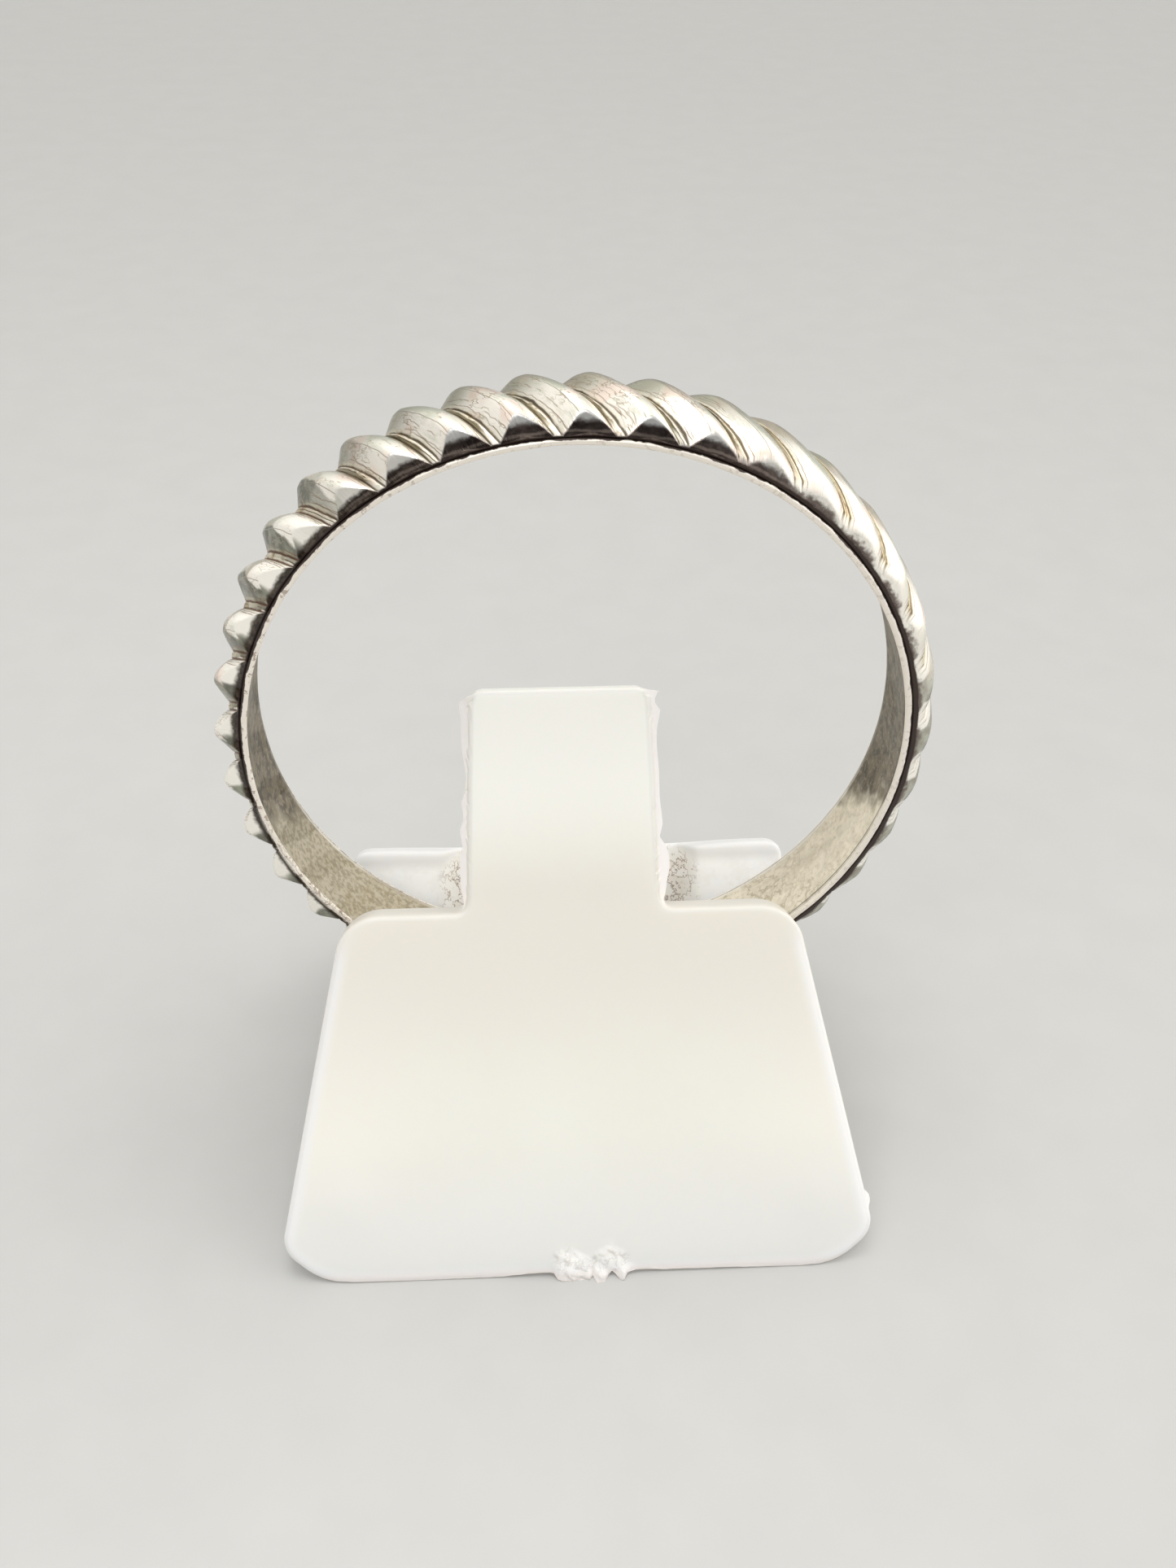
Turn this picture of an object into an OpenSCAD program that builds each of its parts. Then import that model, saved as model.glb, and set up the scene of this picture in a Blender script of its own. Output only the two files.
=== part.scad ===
// A silver band ring with slanting rounded lobes, held upright in a small moulded plastic stand.
// Millimetres, +Z up, the stand's front towards -Y, the origin on the floor under the middle.

/* [Ring] */
// Inside diameter of the ring
bore_d = 17.5; // [16:0.1:21]
// Width of the band, from its front rim to its rear rim
band_w = 2.65; // [2.2:0.05:2.8]
// Thickness of the band at the top of a lobe
crest_t = 0.98; // [0.9:0.01:1.2]
// Thickness of the band at the bottom of a groove, at mid width
valley_t = 0.6; // [0.6:0.01:0.65]
// How much lower a lobe's top is at the rims than at mid width
crest_fall = 0.42; // [0.1:0.01:0.45]
// How much lower a groove's floor is at the rims than at mid width
valley_fall = 0.37; // [0.2:0.01:0.38]
// How much wear has lowered the lobes' tops at the lower right of the ring
worn = 0.16; // [0:0.01:0.3]
// Where they are worn most, in degrees from +X
worn_at = -65; // [-90:1:0]
// How much shallower the grooves are on the right of the ring than at its top and left
filled = 0.29; // [0:0.01:0.31]
// How much thicker the band is at mid width at its upper left
swell = 0.22; // [0:0.01:0.3]
// Where it is thickest, in degrees from +X
swell_at = 112; // [90:1:180]
// Number of lobes round the ring
lobes = 36; // [24:1:48]
// Slant of the grooves from the ring's axis, in degrees
slant = 36; // [0:1:45]
// Place of the first groove on the front rim, in degrees from +X
groove_start = -17.9; // [-20:0.1:20]
// The spacing was cut by hand: how far the lobes drift ahead and back once round the ring, in degrees
drift_once = 1.95; // [0:0.05:2.5]
// Where that drift starts, in degrees
drift_once_at = 58; // [0:1:360]
// How far they drift twice round the ring, in degrees
drift_twice = 0.75; // [0:0.05:1]
// Where that drift starts, in degrees
drift_twice_at = -80; // [-180:1:180]
// Share of a lobe's pitch that is the groove's floor
floor_share = 0.16; // [0.05:0.01:0.3]
// Width of the flat rim round the bore
rim_t = 0.18; // [0.1:0.01:0.18]
// Width of the narrow step from the rim to the end of a lobe
step_t = 0.04; // [0.02:0.01:0.04]
// How far back that step lies behind the rim
step_depth = 0.05; // [0.02:0.01:0.1]
// How far the steep end of a lobe reaches over the band
end_depth = 0.3; // [0.2:0.01:0.4]

/* [Stand front] */
// Depth of the stand over its front and rear feet
base_depth = 14.7; // [13.5:0.1:18]
// How far the front plate leans back, in degrees
lean = 30; // [26:1:32]
// Thickness of the front plate and its finger
plate_t = 1.4; // [1.2:0.1:1.6]
// Length of the front plate along its slope
plate_len = 10.6; // [9.5:0.05:11.5]
// Width of the front plate at the floor
plate_bottom_w = 17.35; // [15:0.05:20]
// How far the plate's foot reaches further to the right than to the left of its middle
foot_shift = 0.1; // [0:0.05:0.3]
// Width of the front plate at its shoulders
plate_top_w = 12.6; // [11:0.05:14]
// Radius of the front plate's shoulders
shoulder_r = 1.3; // [0.5:0.1:2]
// The plate's corners at the floor are cut off: how far up its sides and how far in along its foot
foot_cut_up = 1.08; // [0.5:0.02:2]
foot_cut_in = 1.5; // [0.5:0.05:2.5]
// Radius where that cut meets the side, and where it meets the foot
foot_side_r = 0.8; // [0.4:0.1:1]
foot_r = 2.4; // [1:0.1:3]
// Length of the finger above the shoulders
finger_len = 6.15; // [4.5:0.05:6.5]
// Width of the finger where it leaves the plate
finger_root_w = 5.35; // [4.5:0.05:6]
// Width of the finger at its tip
finger_tip_w = 4.9; // [4:0.05:5.3]
// Radius of the finger's two corners
finger_r = 0.35; // [0.2:0.05:0.8]
// How far the finger's middle lies to the left of the plate's
finger_shift = 0.17; // [0:0.01:0.3]
// How far the stand's middle lies to the left of the ring's
stand_shift = 0.3; // [0:0.05:0.6]

/* [Stand seat and back] */
// Height of the seat that the ring stands on
seat_z = 4.03; // [3.5:0.01:4.5]
// Thickness of the seat, the back wall and the rear leg
wall_t = 1.2; // [1:0.1:1.4]
// Distance from the front foot back to the ring's front rim
ring_setback = 6.7; // [6.5:0.1:7.2]
// Height of the ridge behind the ring
ridge_z = 6.75; // [6.5:0.05:7.5]
// Width of the seat, the back wall and the rear leg
back_w = 13.5; // [12:0.05:14]
// Thickness of the ridge's top, across its slope
ridge_t = 0.8; // [0.7:0.1:1.2]
// Radius of the ridge's two corners
ridge_r = 0.45; // [0.3:0.05:1.5]
// Width of the channel in the back wall, behind the finger
channel_w = 8; // [7:0.1:9]
// Depth of that channel
channel_depth = 0.6; // [0.3:0.05:0.7]
// How far the back's middle, and its channel, lie to the right of the front plate's
back_shift = 0.2; // [0:0.05:0.4]
// Radius of the rear leg's corners at the floor
back_foot_r = 0.6; // [0.3:0.1:1.5]
// Gap between the ring and the seat
seat_gap = 0.05; // [0.03:0.01:0.1]
// Gap between the ring's rear rim and the back wall, at the seat
back_gap = 0.23; // [0.1:0.01:0.4]

/* [Hidden] */
$fn = 64;

// Radii of the ring
bore_r = bore_d / 2;
crest_r = bore_r + crest_t;
valley_r = bore_r + valley_t;
rim_r = bore_r + rim_t;
end_r = rim_r + step_t;

// Places along Y
front_foot_y = -base_depth / 2;
rear_foot_y = base_depth / 2;
ring_front_y = front_foot_y + ring_setback;
wall_base_y = ring_front_y + band_w + back_gap;

// One lobe is drawn through these places, as shares of its pitch from one groove to the next
half_floor = floor_share / 2;
stations = [half_floor, 0.26, 0.42, 0.58, 0.74, 1 - half_floor];
// Sections between the two ends of a lobe
surface_steps = 6;
// Powers that round the band across its width, round a lobe's top, less so at the rims, round its
// flanks, and bulge its steep end
dome_power = 4;
lobe_power = 1.75;
lobe_power_fall = 0.5;
flank_power = 0.85;
end_power = 1.6;
// Where on a lobe's pitch the filed flank starts, and its share of the lobe's height there
flat_from = 0.585;
flat_top = 0.97;
// Cosine of the angle round the ring where the grooves start to be shallower, and how much more it takes
right_from = 0.15;
right_turn = 0.6;
// Powers that narrow the worn part and the swollen part
worn_power = 4;
swell_power = 14;
// Halvings that find where a lobe meets its end
halvings = 16;

// Height of the ring's axis
ring_z = seat_z + seat_gap + crest_r - relief(-90)[0];
pitch = 360 / lobes;
twist_per_mm = tan(slant) / crest_r * 180 / PI;

// The cutting tools reach past what they cut by this much
over = 1;
// Half the size of the block that trims what reaches below the floor
trim = 20;

// Height of a lobe over its floor, from 0 to 1, at the share u of its pitch. t is -1 and 1 at the rims.
// The flank past flat_from is filed flat
function lobe_shape(u, t) =
    let (v = min(1, abs(2 * u - 1) / (1 - floor_share)),
         rounded = pow(1 - pow(v, lobe_power - lobe_power_fall * t * t), flank_power),
         filed = flat_top * (1 - half_floor - u) / (1 - half_floor - flat_from))
    min(rounded, filed);

// 1 where the angle a is at the place at, down to 0 on the other side of the ring
function nearness(a, at, power) = pow((1 + cos(a - at)) / 2, power);

// How far to the right the angle a is, from 0 to 1, with an even turn between
function rightness(a) = let (s = max(0, min(1, (cos(a) - right_from) / right_turn))) s * s * (3 - 2 * s);

// The relief at the angle a: how much wear has lowered the lobes, how much higher the grooves' floors are,
// and how much thicker the band is at mid width
function relief(a) =
    let (wear = nearness(a, worn_at, worn_power))
    [worn * wear, filled * rightness(a) * (1 - wear), swell * nearness(a, swell_at, swell_power)];

// Radius of the lobed surface at the share u, y behind the front rim, under the relief w
function lobed_r(u, y, w) =
    let (t = 2 * y / band_w - 1,
         thick = w[2] * (1 - t * t),
         top = crest_r - w[0] - crest_fall * pow(t, dome_power),
         bottom = valley_r + w[1] - valley_fall * t * t)
    thick + bottom + (top - bottom) * lobe_shape(u, t);

// Radius of the steep end, y behind the rim: from the step up to the height of a crest
function steep_r(y) =
    let (s = (y - step_depth) / end_depth)
    end_r + (crest_r - end_r) * (1 - pow(1 - s, end_power));

// Distance behind the rim where the steep end meets the lobed surface
function meeting(u, w, low = step_depth, high = step_depth + end_depth, n = halvings) =
    let (mid = (low + high) / 2)
    n == 0 ? mid
    : steep_r(mid) < lobed_r(u, mid, w) ? meeting(u, w, mid, high, n - 1)
    : meeting(u, w, low, mid, n - 1);

// Points [y, r] of the front end of one section, from the rim up to the lobed surface
function end_points(u, w) =
    let (m = meeting(u, w), mid = (step_depth + m) / 2)
    [[0, rim_r], [step_depth, end_r], [mid, steep_r(mid)], [m, lobed_r(u, m, w)]];

// Points [y, r] of one section, from the front rim over the lobe to the rear rim
function section(u, w) =
    let (front = end_points(u, w),
         m = front[3][0],
         run = band_w - 2 * m)
    concat(
        front,
        [for (k = [1 : surface_steps - 1])
            let (y = m + run * k / surface_steps) [y, lobed_r(u, y, w)]],
        [for (k = [3 : -1 : 0]) [band_w - front[k][0], front[k][1]]]
    );

// Angle on the front rim of the place k pitches on from the first groove
function lobe_angle(k) =
    let (even = pitch * k)
    groove_start + even + drift_once * sin(even + drift_once_at)
    + drift_twice * sin(2 * even + drift_twice_at);

// A point at radius r and angle a round the ring's axis, y behind its front rim
function ring_point(r, a, y) = [r * cos(a), ring_front_y + y, ring_z + r * sin(a)];

// All points: sections side by side round the ring, each following the grooves' slant
ring_points = [
    for (k = [0 : lobes - 1])
        for (u = stations)
            for (p = section(u, relief(lobe_angle(k + u))))
                ring_point(p[1], lobe_angle(k + u) + twist_per_mm * p[0], p[0])
];
columns = lobes * len(stations);
rows = len(section(stations[0], relief(0)));

// The side is two triangles to each cell, and each rim is one flat polygon
ring_faces = concat(
    [for (c = [0 : columns - 1])
        for (j = [0 : rows - 2])
            for (upper = [0, 1])
                let (a = c * rows + j,
                     b = ((c + 1) % columns) * rows + j)
                upper == 1 ? [a, b + 1, a + 1] : [a, b, b + 1]],
    [[for (c = [columns - 1 : -1 : 0]) c * rows]],
    [[for (c = [0 : columns - 1]) c * rows + rows - 1]]
);

// The arc that rounds corner k of a convex outline of [x, y, radius]: its start, its centre and its end
function unit(v) = v / norm(v);
function place(corner) = [corner[0], corner[1]];
function arc(corners, k) =
    let (
        count = len(corners),
        at = place(corners[k]),
        r = corners[k][2],
        to_last = unit(place(corners[(k + count - 1) % count]) - at),
        to_next = unit(place(corners[(k + 1) % count]) - at),
        half = acos(to_last * to_next) / 2
    )
    [at + to_last * r / tan(half), at + unit(to_last + to_next) * r / sin(half), at + to_next * r / tan(half)];

// A convex outline whose corners are rounded
module rounded_shape(corners) {
    arcs = [for (k = [0 : len(corners) - 1]) arc(corners, k)];
    polygon([for (bend = arcs) each [bend[0], bend[2]]]);
    for (k = [0 : len(corners) - 1])
        translate(arcs[k][1])
            circle(r = corners[k][2]);
}

// A slab's outline, narrower at its top, as corners for rounded_shape
function tapered(bottom_w, top_w, height, bottom_r, top_r) = [
    [-bottom_w / 2, 0, bottom_r],
    [bottom_w / 2, 0, bottom_r],
    [top_w / 2, height, top_r],
    [-top_w / 2, height, top_r]
];

module band() {
    color("silver")
        difference() {
            polyhedron(points = ring_points, faces = ring_faces, convexity = 10);
            translate([0, ring_front_y - over, ring_z])
                rotate([-90, 0, 0])
                    cylinder(r = bore_r, h = band_w + 2 * over);
        }
}

// The front plate's outline, with its corners at the floor cut off
left_foot_x = foot_shift - plate_bottom_w / 2;
right_foot_x = foot_shift + plate_bottom_w / 2;
left_side = (-plate_top_w / 2 - left_foot_x) / plate_len;
right_side = (plate_top_w / 2 - right_foot_x) / plate_len;
plate_corners = [
    [left_foot_x + foot_cut_in, 0, foot_r],
    [right_foot_x - foot_cut_in, 0, foot_r],
    [right_foot_x + foot_cut_up * right_side, foot_cut_up, foot_side_r],
    [plate_top_w / 2, plate_len, shoulder_r],
    [-plate_top_w / 2, plate_len, shoulder_r],
    [left_foot_x + foot_cut_up * left_side, foot_cut_up, foot_side_r]
];

// The front plate and its finger, one slab that leans back
module front_plate() {
    translate([-stand_shift, front_foot_y, 0])
        rotate([90 - lean, 0, 0])
            translate([0, 0, -plate_t])
                linear_extrude(plate_t) {
                    rounded_shape(plate_corners);
                    translate([-finger_shift, plate_len - over])
                        rounded_shape(tapered(finger_root_w, finger_tip_w, finger_len + over, finger_r, finger_r));
                }
}

// Seat, back wall and rear leg: one folded section, as points [y, z]
wall_slope = tan(lean);
ridge_front = [wall_base_y + (ridge_z - seat_z) * wall_slope, ridge_z];
ridge_rear = ridge_front + ridge_t * [cos(lean), -sin(lean)];
leg_slope = (rear_foot_y - ridge_rear[0]) / ridge_rear[1];
leg_inner_y = rear_foot_y - wall_t * sqrt(1 + leg_slope * leg_slope);
wall_inner_y = wall_base_y + wall_t / cos(lean);
under_z = seat_z - wall_t;
inner_top_z = seat_z + (leg_inner_y - wall_inner_y - seat_z * leg_slope) / (wall_slope + leg_slope);
seat_front_y = front_foot_y + seat_z * wall_slope + plate_t / cos(lean) / 2;

back_section = [
    [seat_front_y, seat_z],
    [wall_base_y, seat_z],
    ridge_front,
    ridge_rear,
    [rear_foot_y, 0],
    [leg_inner_y, 0],
    [leg_inner_y - inner_top_z * leg_slope, inner_top_z],
    [wall_inner_y - wall_t * wall_slope, under_z],
    [seat_front_y, under_z]
];

// The leg's corners are rounded at the floor, and the ridge's in the plane of the wall
ridge_len = (ridge_z - seat_z) / cos(lean);

module back_walls() {
    intersection() {
        rotate([90, 0, 90])
            translate([0, 0, -plate_bottom_w])
                linear_extrude(2 * plate_bottom_w)
                    polygon(back_section);
        translate([back_shift - stand_shift, base_depth, 0])
            rotate([90, 0, 0])
                linear_extrude(2 * base_depth)
                    rounded_shape(tapered(back_w, back_w, base_depth, back_foot_r, back_foot_r));
        translate([back_shift - stand_shift, wall_base_y, seat_z])
            rotate([90 - lean, 0, 0])
                translate([0, -base_depth, -base_depth])
                    linear_extrude(2 * base_depth)
                        rounded_shape(tapered(back_w, back_w, base_depth + ridge_len, ridge_r, ridge_r));
    }
}

// What is cut out of the back wall behind the finger: a channel with sloping sides
module channel() {
    half_w = channel_w / 2;
    translate([back_shift - stand_shift, wall_base_y, seat_z])
        rotate([-lean, 0, 0])
            linear_extrude(ridge_z)
                polygon([
                    [-half_w - over, -over],
                    [half_w + over, -over],
                    [half_w - channel_depth, channel_depth],
                    [-half_w + channel_depth, channel_depth]
                ]);
}

module stand() {
    color("white")
        difference() {
            union() {
                front_plate();
                back_walls();
            }
            channel();
            translate([-trim, -trim, -trim])
                cube([2 * trim, 2 * trim, trim]);
        }
}

band();
stand();
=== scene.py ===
import math

import bpy
import numpy as np
from mathutils import Euler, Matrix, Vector, noise
from mathutils.geometry import delaunay_2d_cdt


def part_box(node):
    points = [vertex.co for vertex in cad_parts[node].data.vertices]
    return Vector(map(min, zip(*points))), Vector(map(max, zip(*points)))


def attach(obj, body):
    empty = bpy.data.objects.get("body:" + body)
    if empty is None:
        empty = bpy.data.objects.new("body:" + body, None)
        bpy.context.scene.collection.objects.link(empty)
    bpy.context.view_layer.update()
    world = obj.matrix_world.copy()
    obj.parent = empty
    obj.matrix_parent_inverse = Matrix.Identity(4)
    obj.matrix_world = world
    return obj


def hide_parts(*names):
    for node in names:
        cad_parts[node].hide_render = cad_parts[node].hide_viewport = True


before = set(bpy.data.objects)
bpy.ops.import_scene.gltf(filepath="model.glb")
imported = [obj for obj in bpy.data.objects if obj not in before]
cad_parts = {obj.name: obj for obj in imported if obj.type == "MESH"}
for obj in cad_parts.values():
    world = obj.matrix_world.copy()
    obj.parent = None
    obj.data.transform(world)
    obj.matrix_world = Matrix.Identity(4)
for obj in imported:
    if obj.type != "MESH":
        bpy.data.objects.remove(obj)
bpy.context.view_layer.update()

# One millimetre, in metres. Shapes are worked out in millimetres and scaled when a mesh is made
MM = 0.001

# The ring, as in the part's source: millimetres and degrees
BORE_R = 8.75
BAND_W = 2.65
CREST_T = 0.98
VALLEY_T = 0.6
RIM_T = 0.18
STEP_T = 0.04
CREST_R = BORE_R + CREST_T
VALLEY_R = BORE_R + VALLEY_T
RIM_R = BORE_R + RIM_T
END_R = RIM_R + STEP_T
CREST_FALL = 0.42
VALLEY_FALL = 0.37
LOBES = 36
SLANT = 36
GROOVE_START = -17.9
DRIFT_ONCE = (1.95, 58)
DRIFT_TWICE = (0.75, -80)
FLOOR_SHARE = 0.16
STEP_DEPTH = 0.05
END_DEPTH = 0.3
DOME_POWER = 4
LOBE_POWER = 1.75
LOBE_POWER_FALL = 0.5
FLANK_POWER = 0.85
END_POWER = 1.6
# One flank of each lobe is filed flat: it starts at this share of the pitch, at this share of the height
FLAT_FROM = 0.585
FLAT_TOP = 0.97
RING_FRONT_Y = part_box("band")[0].y / MM
# Wear has lowered the lobes' tops at the lower right: by how much, where in degrees, and how narrowly
WORN = (0.16, -65, 4)
# At the upper left the band is thicker at mid width: by how much, where in degrees, and how narrowly
SWELL = (0.22, 112, 14)
# On the right the grooves are shallower by FILLED. The cosine of the angle round the ring says where:
# it starts at RIGHT_FROM and is complete RIGHT_TURN further on
FILLED = 0.29
RIGHT_FROM = 0.15
RIGHT_TURN = 0.6
TWIST = math.tan(math.radians(SLANT)) / CREST_R

# The stand, as in the part's source
LEAN = math.radians(30)
LEAN_SIN = math.sin(LEAN)
LEAN_COS = math.cos(LEAN)
PLATE_T = 1.4
PLATE_LEN = 10.6
PLATE_BOTTOM_W = 17.35
FOOT_SHIFT = 0.1
PLATE_TOP_W = 12.6
SHOULDER_R = 1.3
FOOT_CUT_UP = 1.08
FOOT_CUT_IN = 1.5
FOOT_SIDE_R = 0.8
FOOT_R = 2.4
FINGER_LEN = 6.15
FINGER_ROOT_W = 5.35
FINGER_TIP_W = 4.9
FINGER_R = 0.35
FINGER_SHIFT = 0.17
STAND_SHIFT = 0.3
SEAT_Z = 4.03
WALL_T = 1.2
RIDGE_Z = 6.75
BACK_W = 13.5
BACK_SHIFT = 0.2
BACK_FOOT_R = 0.6
RIDGE_T = 0.8
RIDGE_R = 0.45
CHANNEL_W = 8
CHANNEL_DEPTH = 0.6
FRONT_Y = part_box("stand")[0].y / MM
REAR_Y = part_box("stand")[1].y / MM
# Gaps between the ring and the stand: under its lobes and behind its rear rim
SEAT_GAP = 0.05
BACK_GAP = 0.23
WALL_BASE_Y = RING_FRONT_Y + BAND_W + BACK_GAP


def smooth(low, high, x):
    """0 below low, 1 above high, with an even turn between them."""
    t = np.clip((x - low) / (high - low), 0, 1)
    return t * t * (3 - 2 * t)


def noise_at(points, scale, seed):
    """Noise from about -1 to 1 at points in millimetres. scale is the size of its blots in millimetres."""
    shift = Vector((seed * 7.31, seed * 3.17, seed * 5.93))
    return np.array([noise.noise(Vector(p) / scale + shift) for p in points])


def layered(points, layers, start=0):
    """Noises at points added up from start. Each layer is its height, the size of its blots and its seed."""
    return sum((height * noise_at(points, size, seed) for height, size, seed in layers), start)


def table_value(table, at):
    """Values read between the rows (place, value) of a table."""
    places, values = zip(*table)
    return np.interp(at, places, values)


def belt(first, second, count):
    """Faces between two closed rows of points, whose points are numbered from first and from second."""
    after = [(i + 1) % count for i in range(count)]
    return [(first + i, first + on, second + on, second + i) for i, on in enumerate(after)]


def add_object(name, data):
    """A new object in the scene."""
    made = bpy.data.objects.new(name, data)
    bpy.context.scene.collection.objects.link(made)
    return made


def set_guides(mesh, guides):
    """Store guides for the finish: named lists with one number for each point."""
    for name, values in guides.items():
        layer = mesh.attributes.new(name, "FLOAT", "POINT")
        layer.data.foreach_set("value", np.asarray(values, np.float32))


def make_mesh(name, points, faces, guides=None):
    """A smooth-shaded object from points in millimetres."""
    mesh = bpy.data.meshes.new(name)
    mesh.from_pydata((np.asarray(points) * MM).tolist(), [], faces)
    set_guides(mesh, guides or {})
    mesh.shade_smooth()
    return add_object(name, mesh)


# The ring: sections across the band, side by side round it, each following the grooves' slant

# Places across one lobe, from the middle of a groove to the top of the lobe, as shares of the pitch
HALF_LOBE = [0, 0.035, 0.062, 0.075, 0.088, 0.11, 0.145, 0.19, 0.24, 0.3, 0.35, 0.385, 0.41, 0.45]
ONE_LOBE = HALF_LOBE + [0.5] + [1 - u for u in HALF_LOBE[:0:-1]]
# Rows of points on the lobes' surface, on each steep end and in the bore
SURFACE_ROWS = 30
END_ROWS = 8
BORE_ROWS = 6
# Distance from the rims where the bore's own finish starts
BORE_START = 0.12
# Distance from the front rim of the fine line of painted shade just inside the bore
LIP_AT = 0.17
# Rounding of the rim's corners and of the edge at the top of a steep end, which is softer on the right
RIM_ROUND = 0.07
EDGE_ROUND = 0.02
SOFT_ROUND = 0.11
# That rounding takes at most this share of the steep end
ROUND_SHARE = 0.35
RIM_STEPS = 3
# The fine slot between the rim and the steep ends
SLOT_W = 0.05
SLOT_DEPTH = 0.12
# The cut lines along both sides of a groove's floor
LINE_AT = 0.075
LINE_W = 0.011
LINE_DEPTH = 0.035
# A groove's finish: it fades between these distances from the groove's middle, as shares of the pitch
GROOVE_FADE = (0.07, 0.16)
# Hand finishing leaves the lobes and the rims a little uneven, as layers of noise, and wears the tops down
LOBE_WAVES = ((0.012, 0.9, 1), (0.006, 0.3, 2))
RIM_DENTS = ((0.012, 0.7, 4), (0.006, 0.25, 5))
DENT_OUTWARD = 0.6
TOP_WEAR = 0.012
# Knocks on the lobes at the left, between these cosines of the angle: their height, size and seed
KNOCKS = ((0.035, 0.4, 6),)
KNOCKED = (-0.3, -0.9)


def lobe_shape(u, t=0):
    """Height of a lobe over its floor, from 0 to 1, at the share u of its pitch. t is -1 or 1 at the rims."""
    v = np.minimum(1, np.abs(2 * u - 1) / (1 - FLOOR_SHARE))
    rounded = (1 - v ** (LOBE_POWER - LOBE_POWER_FALL * t**2)) ** FLANK_POWER
    filed = FLAT_TOP * (1 - FLOOR_SHARE / 2 - u) / (1 - FLOOR_SHARE / 2 - FLAT_FROM)
    return np.minimum(rounded, np.maximum(filed, 0))


def rightness(angle):
    """How far to the right an angle round the ring is, from 0 to 1."""
    return smooth(RIGHT_FROM, RIGHT_FROM + RIGHT_TURN, np.cos(angle))


def nearness(angle, at, power):
    """1 where the angle is at the place at, in degrees, down to 0 on the other side of the ring."""
    return ((1 + np.cos(angle - math.radians(at))) / 2) ** power


def relief(angle):
    """At an angle: how much lower wear has made the lobes, how much higher the grooves are, and the swell."""
    wear = nearness(angle, *WORN[1:])
    return WORN[0] * wear, FILLED * rightness(angle) * (1 - wear), SWELL[0] * nearness(angle, *SWELL[1:])


RING_Z = SEAT_Z + SEAT_GAP + CREST_R - relief(-math.pi / 2)[0]


def lobed_r(u, y, w):
    """Radius of the lobed surface, y behind the front rim, under the relief w."""
    lowered, filled, swell = w
    t = 2 * y / BAND_W - 1
    top = CREST_R - lowered - CREST_FALL * t**DOME_POWER
    bottom = VALLEY_R + filled - VALLEY_FALL * t**2
    return swell * (1 - t**2) + bottom + (top - bottom) * lobe_shape(u, t)


def steep_r(y):
    """Radius of a lobe's steep end, y behind the rim."""
    s = np.clip((y - STEP_DEPTH) / END_DEPTH, 0, 1)
    return END_R + (CREST_R - END_R) * (1 - (1 - s) ** END_POWER)


def meeting(u, w):
    """Distance behind the rim where the steep end meets the lobed surface."""
    low = np.full_like(u, STEP_DEPTH)
    high = low + END_DEPTH
    for _ in range(24):
        mid = (low + high) / 2
        under = steep_r(mid) < lobed_r(u, mid, w)
        low = np.where(under, mid, low)
        high = np.where(under, high, mid)
    return low


def lobe_angle(k):
    """Angle on the front rim of the place k pitches on from the first groove, in radians."""
    even = 360 / LOBES * k
    drift = DRIFT_ONCE[0] * np.sin(np.radians(even + DRIFT_ONCE[1]))
    drift += DRIFT_TWICE[0] * np.sin(np.radians(2 * even + DRIFT_TWICE[1]))
    return np.radians(GROOVE_START + even + drift)


def rim_rows():
    """Points (y, r) from the bore's edge over the flat rim."""
    turns = [math.pi / 2 * k / RIM_STEPS for k in range(RIM_STEPS + 1)]
    inner = [(1 - math.sin(a), BORE_R + RIM_ROUND * (1 - math.cos(a))) for a in turns]
    outer = [(1 - math.cos(a), RIM_R - RIM_ROUND * (1 - math.sin(a))) for a in turns]
    return [(RIM_ROUND * y, r) for y, r in inner + outer]


def slot_rows():
    """Points (y, r) down into the slot behind the rim."""
    return [(SLOT_DEPTH, RIM_R + 0.2 * SLOT_W), (SLOT_DEPTH, RIM_R + 0.8 * SLOT_W)]


def even_rows(u, points, part):
    """Rows that are the same in every section, from points (y, r)."""
    return [(np.full_like(u, y), np.full_like(u, r), part) for y, r in points]


def ring_rows(u, w, right):
    """Rows (y, r, part of the ring) round the sections at the shares u of a pitch, under the relief w."""
    m = meeting(u, w)
    corner = np.hypot(m - STEP_DEPTH, lobed_r(u, m, w) - END_R)
    ease = np.minimum(EDGE_ROUND + (SOFT_ROUND - EDGE_ROUND) * right, ROUND_SHARE * corner)
    front = even_rows(u, rim_rows(), "rim") + even_rows(u, slot_rows(), "slot")
    for k in range(END_ROWS):
        share = k / (END_ROWS - 1)
        y = STEP_DEPTH + (m - ease * 0.5 - STEP_DEPTH) * share
        front.append((y, steep_r(y), "ends"))
    run = BAND_W - 2 * m
    surface = []
    for k in range(SURFACE_ROWS):
        y = m + ease + (run - 2 * ease) * k / (SURFACE_ROWS - 1)
        surface.append((y, lobed_r(u, y, w), "lobe"))
    rear = [(BAND_W - y, r, part) for y, r, part in reversed(front)]
    run = BAND_W - 2 * BORE_START
    bore = [(BAND_W - BORE_START - run * k / BORE_ROWS, BORE_R) for k in range(BORE_ROWS + 1)]
    return front + surface + rear + even_rows(u, bore, "bore")


def on_ring(y, r, angle):
    """Points y behind the front rim, at a radius and angle round the ring's axis."""
    return np.stack([r * np.cos(angle), RING_FRONT_Y + y, RING_Z + r * np.sin(angle)], axis=-1)


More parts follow.
